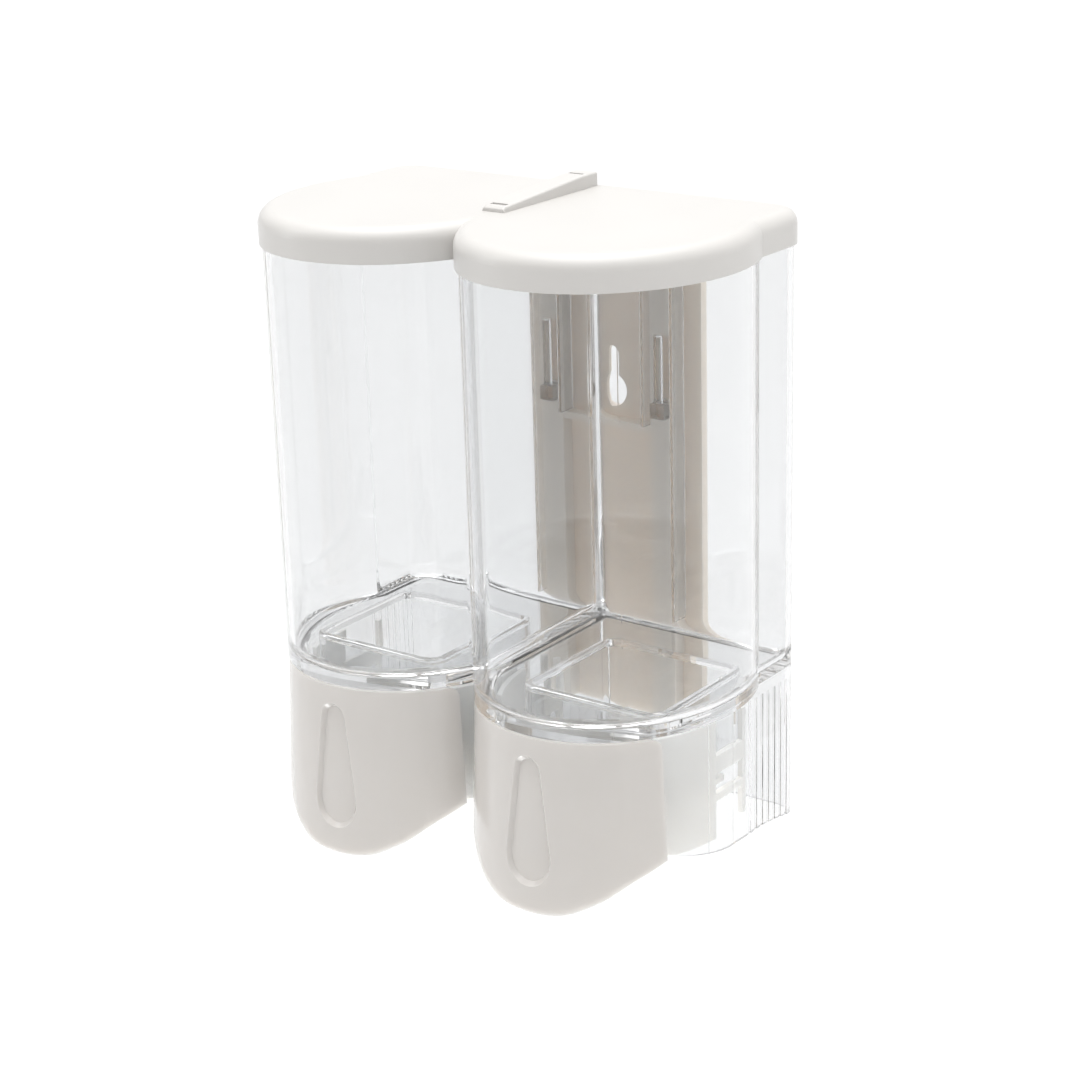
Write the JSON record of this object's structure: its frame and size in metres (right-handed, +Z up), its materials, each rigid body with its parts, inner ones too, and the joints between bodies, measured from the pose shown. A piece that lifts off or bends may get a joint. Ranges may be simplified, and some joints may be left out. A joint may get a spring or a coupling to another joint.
{
  "type": "wall-mounted soap dispenser",
  "caption": "Wall-mounted soap dispenser: clear lobed chambers side by side under a shared white lid, a push lever below each, hung on a plate with a keyhole.",
  "frame": {"origin": "on the wall plane at the hanging plate's back face, on the middle plane, 70 mm below the tank's rim", "axes": "+Y into the wall, +Z up, +X to the right seen from the front"},
  "size_m": [0.1618, 0.1091, 0.2052],
  "materials": {
    "plate": "moulded warm light-grey plastic, satin",
    "clear_tank": "clear moulded plastic, polished, faint cool tint",
    "lid_white": "glossy white moulded plastic",
    "lever_white": "glossy warm-white moulded plastic",
    "pump_white": "natural white moulded plastic, satin",
    "rubber_clear": "translucent silicone",
    "rubber_dark": "black O-ring rubber",
    "spring_steel": "drawn stainless spring wire"
  },
  "bodies": {
    "hanger": {"back_plate": "plate"},
    "reservoir": {"tank": "clear_tank", "pump_bracket_left": "pump_white", "pump_body_left": "pump_white", "tank_seal_left": "rubber_clear", "pump_nut_left": "pump_white", "inlet_valve_left": "rubber_clear", "outlet_valve_left": "rubber_clear", "nozzle_left": "pump_white", "pump_cap_left": "pump_white", "return_spring_left": "spring_steel", "pump_bracket_right": "pump_white", "pump_body_right": "pump_white", "tank_seal_right": "rubber_clear", "pump_nut_right": "pump_white", "inlet_valve_right": "rubber_clear", "outlet_valve_right": "rubber_clear", "nozzle_right": "pump_white", "pump_cap_right": "pump_white", "return_spring_right": "spring_steel"},
    "cover": {"lid": "lid_white"},
    "press_left": {"lever_left": "lever_white"},
    "press_right": {"lever_right": "lever_white"},
    "piston_left": {"plunger_left": "pump_white", "plunger_seal_left": "rubber_dark"},
    "piston_right": {"plunger_right": "pump_white", "plunger_seal_right": "rubber_dark"}
  },
  "joints": [
    {"name": "tank_unhook", "type": "slide", "parent": "hanger", "child": "reservoir", "axis": [0, 0, 1], "range_m": [0, 0.012]},
    {"name": "lid_lift", "type": "slide", "parent": "reservoir", "child": "cover", "axis": [0, 0, 1], "range_m": [0, 0.06]},
    {"name": "lever_left_press", "type": "hinge", "parent": "reservoir", "child": "press_left", "pos_m": [-0.0375, -0.0875, -0.0715], "axis": [1, 0, 0], "range_deg": [0, 8], "stiffness_Nm_per_rad": 1.2, "springref_deg": -8.59},
    {"name": "plunger_left_push", "type": "slide", "parent": "reservoir", "child": "piston_left", "axis": [0, 1, 0], "range_m": [0, 0.004], "deforming": ["return_spring_left"]},
    {"name": "lever_right_press", "type": "hinge", "parent": "reservoir", "child": "press_right", "pos_m": [0.0375, -0.0875, -0.0715], "axis": [1, 0, 0], "range_deg": [0, 8], "stiffness_Nm_per_rad": 1.2, "springref_deg": -8.59},
    {"name": "plunger_right_push", "type": "slide", "parent": "reservoir", "child": "piston_right", "axis": [0, 1, 0], "range_m": [0, 0.004], "deforming": ["return_spring_right"]}
  ],
  "couplings": [
    {"joint": "plunger_left_push", "follows": "lever_left_press", "m_per_rad": 0.0275},
    {"joint": "plunger_right_push", "follows": "lever_right_press", "m_per_rad": 0.0275}
  ]
}
